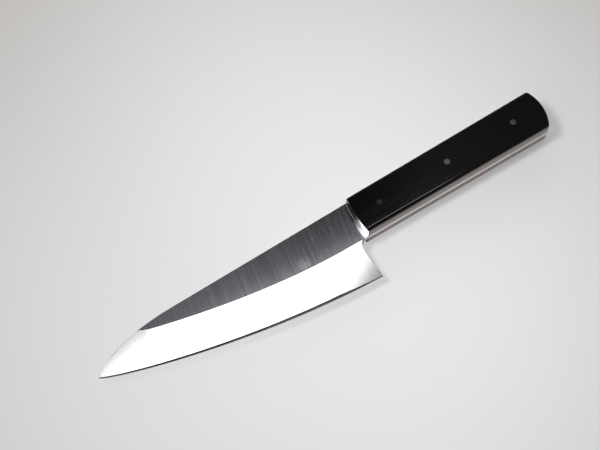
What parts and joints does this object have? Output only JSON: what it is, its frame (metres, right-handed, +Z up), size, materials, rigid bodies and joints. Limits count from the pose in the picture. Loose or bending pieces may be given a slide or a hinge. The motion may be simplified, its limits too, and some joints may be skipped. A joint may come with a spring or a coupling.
{
  "type": "gyuto knife",
  "caption": "Kitchen knife with a tall ground blade, straight spine, upswept edge and sharp heel, its full tang held between black riveted handle scales, lying on its side.",
  "frame": {"origin": "on the table under the middle of the knife's box, the knife lying on its right scale", "axes": "+X from the tip to the butt, +Y from the edge to the spine, +Z up through the left scale"},
  "size_m": [0.266, 0.0426, 0.0146],
  "materials": {
    "blade_steel": "flats brushed across the blade, bevels polished bright",
    "black_scale": "polished gloss",
    "pin_steel": "sanded flush with the scales"
  },
  "bodies": {
    "root": {"blade": "blade_steel", "left_scale": "black_scale", "right_scale": "black_scale", "front_pin": "pin_steel", "middle_pin": "pin_steel", "rear_pin": "pin_steel"}
  },
  "joints": []
}
